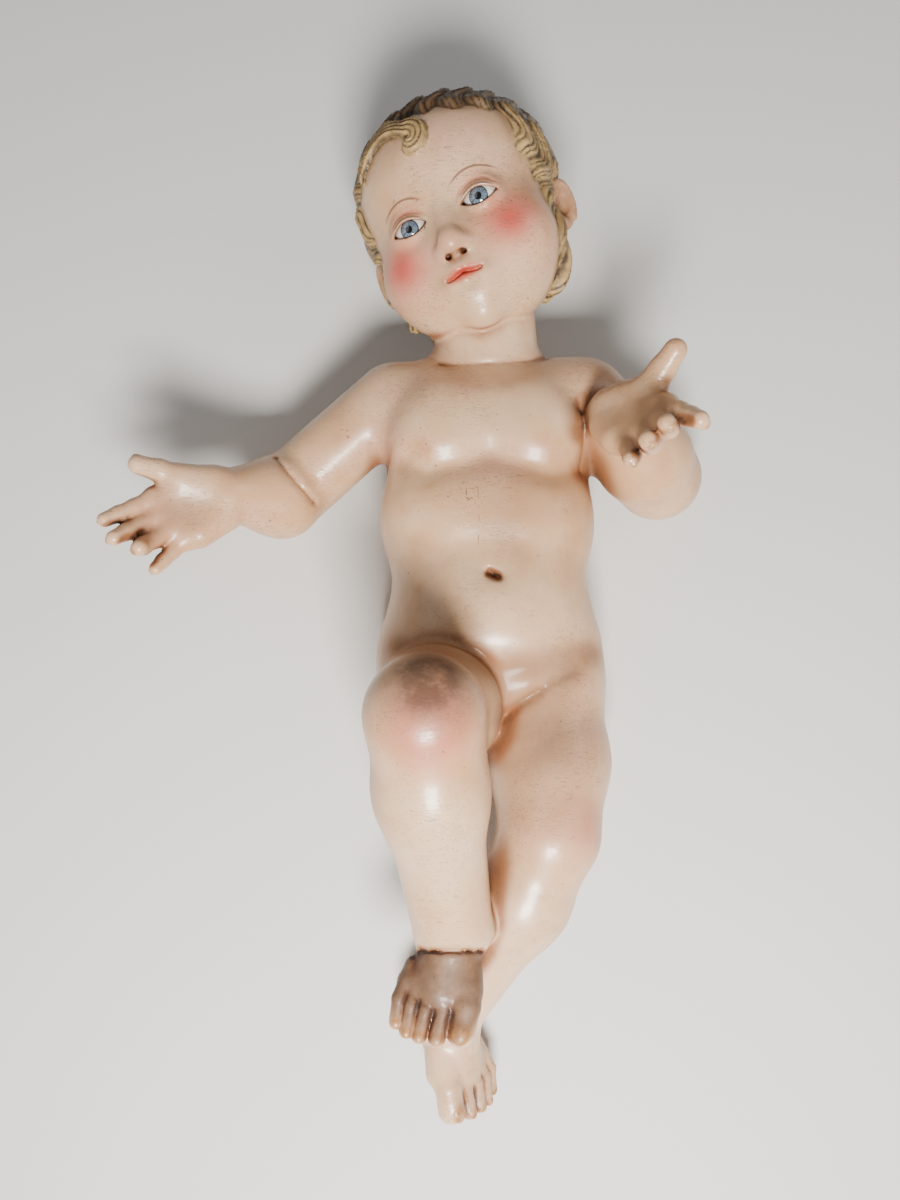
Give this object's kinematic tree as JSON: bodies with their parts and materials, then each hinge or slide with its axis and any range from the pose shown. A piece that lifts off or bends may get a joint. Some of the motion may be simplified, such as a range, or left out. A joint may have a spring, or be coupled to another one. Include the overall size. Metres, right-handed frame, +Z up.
{
  "type": "reclining child jesus statue",
  "caption": "Carved and painted figure of a naked small child lying on its back, arms open and lower legs crossed, with glass eyes.",
  "frame": {"origin": "middle of the figure's bounding box, on the surface that it lies on", "axes": "+X to the figure's left, +Y from its feet to the crown of its head, +Z up, out of its chest"},
  "size_m": [0.2868, 0.4974, 0.1392],
  "materials": {
    "painted_wood": "carved wood with glossy flesh-coloured oil paint, fine age cracks and brown dirt in the folds",
    "eye_glass": "polished glass eye, opaque white behind a blue-grey iris"
  },
  "bodies": {
    "root": {"figure": "painted_wood", "eye_right": "eye_glass", "eye_left": "eye_glass"}
  },
  "joints": []
}
